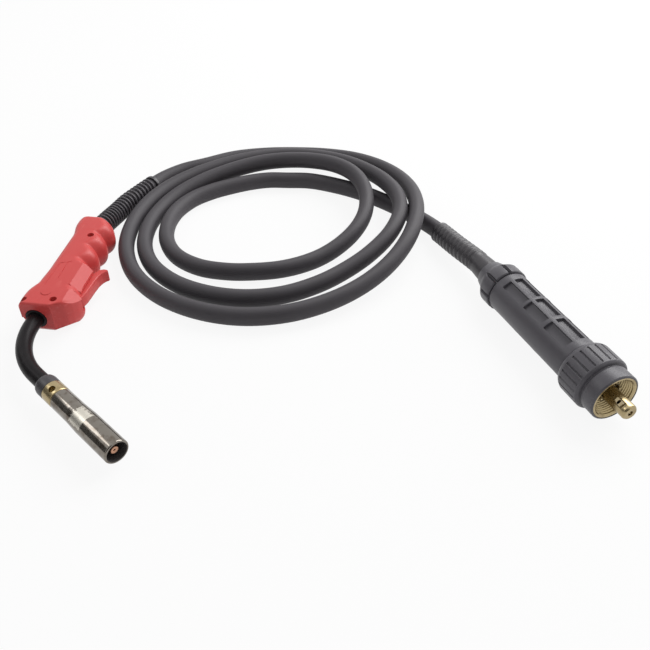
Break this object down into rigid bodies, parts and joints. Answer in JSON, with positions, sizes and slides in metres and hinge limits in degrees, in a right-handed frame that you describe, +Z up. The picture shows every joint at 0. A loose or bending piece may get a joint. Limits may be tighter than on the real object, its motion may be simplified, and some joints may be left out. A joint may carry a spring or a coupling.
{
  "type": "mig_welding_torch",
  "caption": "Gas-cooled MIG welding torch with a red ribbed-grip handle, swan neck, stepped gas nozzle, coiled cable and central connector",
  "frame": {"origin": "on the flat side that the torch lies on, under the handle's axis", "axes": "+Z up from the resting face, +Y from the nose towards the cable, +X to the trigger's side"},
  "size_m": [0.5244, 0.4914, 0.0505],
  "materials": {
    "red_plastic": "satin moulded plastic",
    "black_rubber": "matte black rubber",
    "black_spring": "black coated spring wire",
    "cable_jacket": "dull dark grey rubber jacket",
    "grey_plastic": "satin dark grey plastic",
    "brass": "turned brass",
    "copper": "turned copper",
    "nickel": "bright nickel plate",
    "steel": "plain steel"
  },
  "bodies": {
    "torch": {"handle_shell_left": "red_plastic", "handle_shell_right": "red_plastic", "handle_screws": "steel", "neck_collar": "black_rubber", "trigger_pivot_pin": "steel", "trigger_return_spring": "steel", "switch_body": "black_rubber", "switch_leads": "steel", "neck_tube": "brass", "neck_insulation": "black_rubber", "neck_block": "brass", "cable_end_fitting": "brass", "front_insulator": "black_rubber", "tip_holder": "brass", "nozzle_spring_ring": "steel", "contact_tip": "copper", "cable_support_spring": "black_spring", "spring_end_collar": "black_rubber", "cable_torch_lead": "cable_jacket", "cable_coil": "cable_jacket", "cable_plug_lead": "cable_jacket", "cable_boot": "black_rubber", "boot_ring_nut": "grey_plastic", "plug_housing": "grey_plastic", "housing_lock_screw": "steel", "nut_retaining_ring": "steel", "plug_body": "brass", "plug_spigot": "brass", "pin_bushes": "black_rubber", "pin_springs": "steel"},
    "trigger": {"trigger": "red_plastic"},
    "switch_plunger": {"switch_plunger": "steel"},
    "gas_nozzle": {"gas_nozzle": "nickel"},
    "union_nut": {"union_nut": "grey_plastic", "nut_thread_insert": "brass"},
    "signal_pin_a": {"signal_pin_a": "brass"},
    "signal_pin_b": {"signal_pin_b": "brass"}
  },
  "joints": [
    {"name": "trigger_pivot", "type": "hinge", "parent": "torch", "child": "trigger", "pos_m": [0.022, -0.057, 0.017], "axis": [0, 0, 1], "range_deg": [0, 6], "stiffness_Nm_per_rad": 0.8, "springref_deg": -14.32},
    {"name": "plunger_slide", "type": "slide", "parent": "torch", "child": "switch_plunger", "axis": [-1, 0, 0], "range_m": [0, 0.00215]},
    {"name": "nozzle_slide", "type": "slide", "parent": "torch", "child": "gas_nozzle", "axis": [0.809, -0.5878, 0], "range_m": [0, 0.04]},
    {"name": "nut_turn", "type": "hinge", "parent": "torch", "child": "union_nut", "pos_m": [0.47702, -0.09709, 0.02541], "axis": [-0.5088, 0.8603, -0.031], "continuous": true},
    {"name": "pin_a_slide", "type": "slide", "parent": "torch", "child": "signal_pin_a", "axis": [-0.5088, 0.8603, -0.031], "range_m": [0, 0.003], "stiffness_N_per_m": 300, "springref_m": -0.002},
    {"name": "pin_b_slide", "type": "slide", "parent": "torch", "child": "signal_pin_b", "axis": [-0.5088, 0.8603, -0.031], "range_m": [0, 0.003], "stiffness_N_per_m": 300, "springref_m": -0.002}
  ],
  "couplings": [
    {"joint": "plunger_slide", "follows": "trigger_pivot", "m_per_rad": 0.0205}
  ]
}
